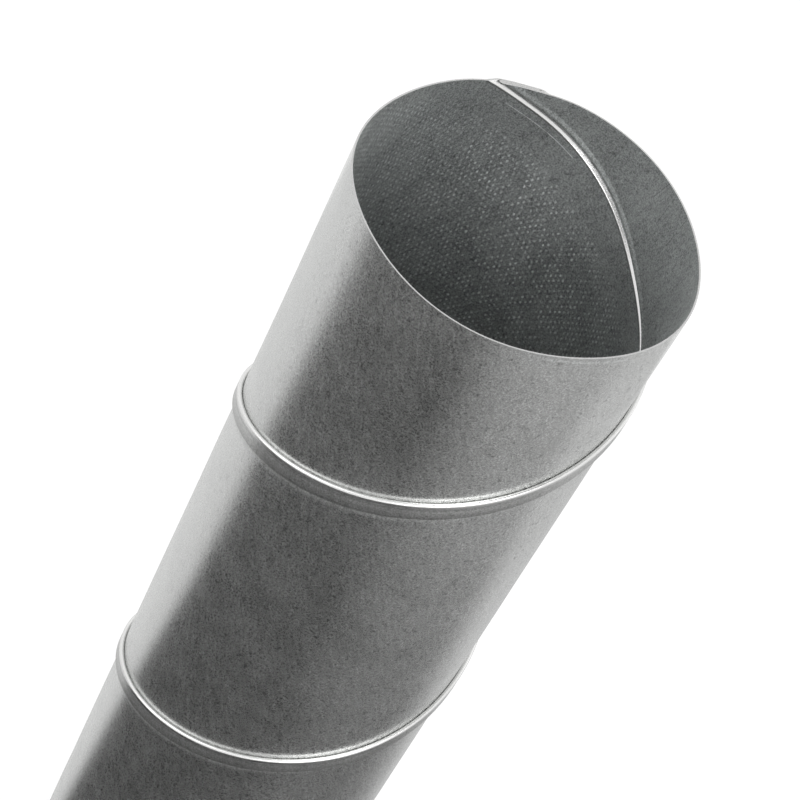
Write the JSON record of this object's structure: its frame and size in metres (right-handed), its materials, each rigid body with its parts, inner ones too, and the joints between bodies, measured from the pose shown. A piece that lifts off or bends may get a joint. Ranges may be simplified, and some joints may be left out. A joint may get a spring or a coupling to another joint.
{
  "type": "spiral duct section",
  "caption": "Straight round ventilation duct wound from galvanised steel strip, with a raised helical lock seam and plain open ends.",
  "frame": {"origin": "centre of the lower end, on the floor that the duct stands on", "axes": "+Z along the duct's axis to its upper open end; the seam leaves the upper end about 112 degrees from +X towards +Y"},
  "size_m": [0.1046, 0.1046, 0.5],
  "materials": {
    "galvanised_steel": "dull zinc coating with fine mottling, faint streaks and light scratches"
  },
  "bodies": {
    "root": {"spiral_duct": "galvanised_steel"}
  },
  "joints": []
}
